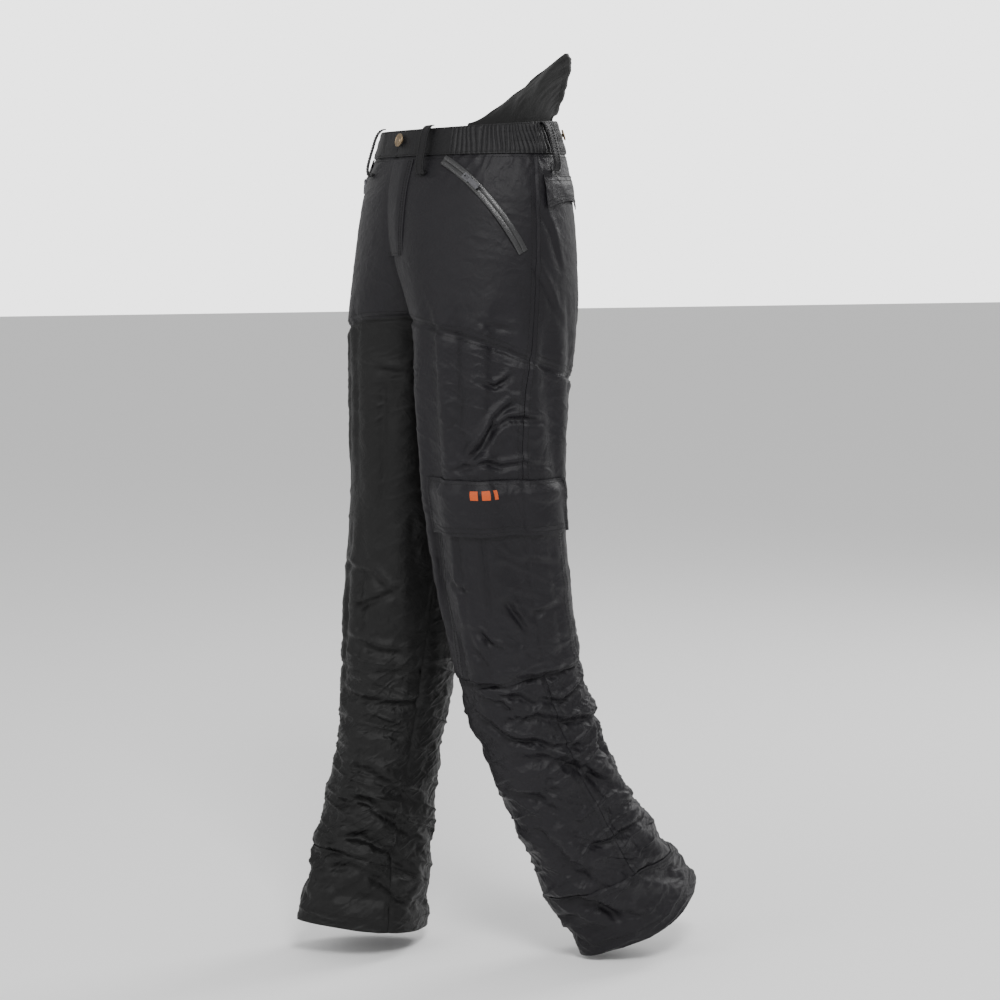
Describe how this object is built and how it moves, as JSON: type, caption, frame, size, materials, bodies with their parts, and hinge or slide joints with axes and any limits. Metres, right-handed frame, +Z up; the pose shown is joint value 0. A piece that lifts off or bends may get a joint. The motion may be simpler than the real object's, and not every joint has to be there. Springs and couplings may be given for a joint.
{
  "type": "chainsaw protective trousers",
  "caption": "Full-length padded protective work trousers in a walking stance, with raised back guard, belt loops, zipped and flapped pockets.",
  "frame": {"origin": "on the middle line of the waist opening, 12 mm above the centre of the waistband's sloping top edge", "axes": "+Z up the garment, -Y towards the wearer's front, +X towards the wearer's left"},
  "size_m": [0.3783, 0.4831, 1.1587],
  "materials": {
    "shell_fabric": "plain-weave nylon shell with a faint sheen",
    "shell_fabric_far": "the same nylon shell, darker where it sits in shade folds",
    "waistband_fabric": "nylon over elastic, gathered",
    "lining_fabric": "knitted polyester mesh",
    "cut_fibre": "layers of long loose cut-protection fibre, quilted",
    "elastic": "braided elastic webbing",
    "pocket_bag_fabric": "thin woven pocketing",
    "tape_black": "woven zip and hook-and-loop tape",
    "dark_metal": "gunmetal zip slider",
    "bronze": "antiqued bronze button",
    "mark_orange": "woven orange bars"
  },
  "bodies": {
    "hips": {"waistband_front_left": "waistband_fabric", "waistband_front_right": "waistband_fabric", "waistband_back": "waistband_fabric", "waistband_facing": "lining_fabric", "waist_elastic_left": "elastic", "waist_elastic_right": "elastic", "front_left_panel": "shell_fabric", "front_right_panel": "shell_fabric", "seat_left_panel": "shell_fabric", "seat_right_panel": "shell_fabric", "hips_lining": "lining_fabric", "fly_flap": "shell_fabric", "fly_shield": "shell_fabric", "fly_zip_tapes": "tape_black", "waist_button": "bronze", "brace_buttons": "bronze", "belt_loops": "waistband_fabric", "hip_zip_left_tapes": "tape_black", "hip_pocket_bag_left": "pocket_bag_fabric", "hip_zip_right_tapes": "tape_black", "hip_pocket_bag_right": "pocket_bag_fabric", "rear_pocket_bag_left": "pocket_bag_fabric", "rear_pocket_bag_right": "pocket_bag_fabric"},
    "left_thigh": {"left_thigh_front": "shell_fabric", "left_thigh_back": "shell_fabric", "left_thigh_cut_pad": "cut_fibre", "left_thigh_lining": "lining_fabric", "cargo_pocket": "shell_fabric", "cargo_loop_tape": "tape_black"},
    "left_shin": {"left_shin_front": "shell_fabric", "left_shin_back": "shell_fabric", "left_shin_cut_pad": "cut_fibre", "left_shin_lining": "lining_fabric", "left_hem_band": "shell_fabric"},
    "right_thigh": {"right_thigh_front": "shell_fabric_far", "right_thigh_back": "shell_fabric_far", "right_thigh_cut_pad": "cut_fibre", "right_thigh_lining": "lining_fabric"},
    "right_shin": {"right_shin_front": "shell_fabric_far", "right_shin_back": "shell_fabric_far", "right_shin_cut_pad": "cut_fibre", "right_shin_lining": "lining_fabric", "right_hem_band": "shell_fabric_far"},
    "kidney_guard": {"kidney_guard": "shell_fabric", "kidney_guard_binding": "shell_fabric"},
    "cargo_flap": {"cargo_flap": "shell_fabric", "cargo_hook_tape": "tape_black", "flap_mark": "mark_orange"},
    "rear_flap_left": {"rear_flap_left": "shell_fabric"},
    "rear_flap_right": {"rear_flap_right": "shell_fabric"},
    "hip_zip_left_slider": {"hip_zip_left_slider": "dark_metal"},
    "hip_zip_left_pull": {"hip_zip_left_pull": "dark_metal"},
    "hip_zip_right_slider": {"hip_zip_right_slider": "dark_metal"},
    "hip_zip_right_pull": {"hip_zip_right_pull": "dark_metal"},
    "fly_slider": {"fly_slider": "dark_metal", "fly_pull": "dark_metal"}
  },
  "joints": [
    {"name": "left_hip", "type": "hinge", "parent": "hips", "child": "left_thigh", "pos_m": [0.095, -0.014, -0.302], "axis": [-1, 0, 0], "range_deg": [-15, 45]},
    {"name": "right_hip", "type": "hinge", "parent": "hips", "child": "right_thigh", "pos_m": [-0.095, -0.014, -0.302], "axis": [-1, 0, 0], "range_deg": [-20, 45]},
    {"name": "left_knee", "type": "hinge", "parent": "left_thigh", "child": "left_shin", "pos_m": [0.096, 0.017, -0.69], "axis": [1, 0, 0], "range_deg": [-20, 50]},
    {"name": "right_knee", "type": "hinge", "parent": "right_thigh", "child": "right_shin", "pos_m": [-0.097, -0.048, -0.692], "axis": [1, 0, 0], "range_deg": [-5, 60]},
    {"name": "kidney_guard_fold", "type": "hinge", "parent": "hips", "child": "kidney_guard", "pos_m": [0, 0.094, -0.0044], "axis": [-1, 0, 0], "range_deg": [0, 75]},
    {"name": "cargo_flap_lift", "type": "hinge", "parent": "left_thigh", "child": "cargo_flap", "pos_m": [0.1818, -0.0734, -0.4428], "axis": [-0.4647, -0.8855, 0], "range_deg": [0, 80]},
    {"name": "rear_flap_left_lift", "type": "hinge", "parent": "hips", "child": "rear_flap_left", "pos_m": [0.1442, 0.0548, -0.0747], "axis": [0.6188, -0.7855, 0], "range_deg": [0, 75]},
    {"name": "rear_flap_right_lift", "type": "hinge", "parent": "hips", "child": "rear_flap_right", "pos_m": [-0.1442, 0.0548, -0.0747], "axis": [0.6188, 0.7855, 0], "range_deg": [0, 75]},
    {"name": "hip_zip_left_travel", "type": "hinge", "parent": "hips", "child": "hip_zip_left_slider", "pos_m": [0.01575, -0.01892, -0.17708], "axis": [0.0017, 0.8703, 0.4925], "range_deg": [-11.5, 31.3]},
    {"name": "hip_zip_left_pull_swing", "type": "hinge", "parent": "hip_zip_left_slider", "child": "hip_zip_left_pull", "pos_m": [0.12943, -0.07832, -0.07787], "axis": [-0.3442, -0.5872, -0.7327], "range_deg": [0, 125]},
    {"name": "hip_zip_right_travel", "type": "hinge", "parent": "hips", "child": "hip_zip_right_slider", "pos_m": [-0.01575, -0.01892, -0.17708], "axis": [0.0017, -0.8703, -0.4925], "range_deg": [-11.5, 31.3]},
    {"name": "hip_zip_right_pull_swing", "type": "hinge", "parent": "hip_zip_right_slider", "child": "hip_zip_right_pull", "pos_m": [-0.12943, -0.07832, -0.07787], "axis": [-0.3442, 0.5872, 0.7327], "range_deg": [0, 125]},
    {"name": "fly_zip_travel", "type": "hinge", "parent": "hips", "child": "fly_slider", "pos_m": [0, 0.12332, -0.12317], "axis": [1, 0, 0], "range_deg": [0, 20.7]}
  ]
}
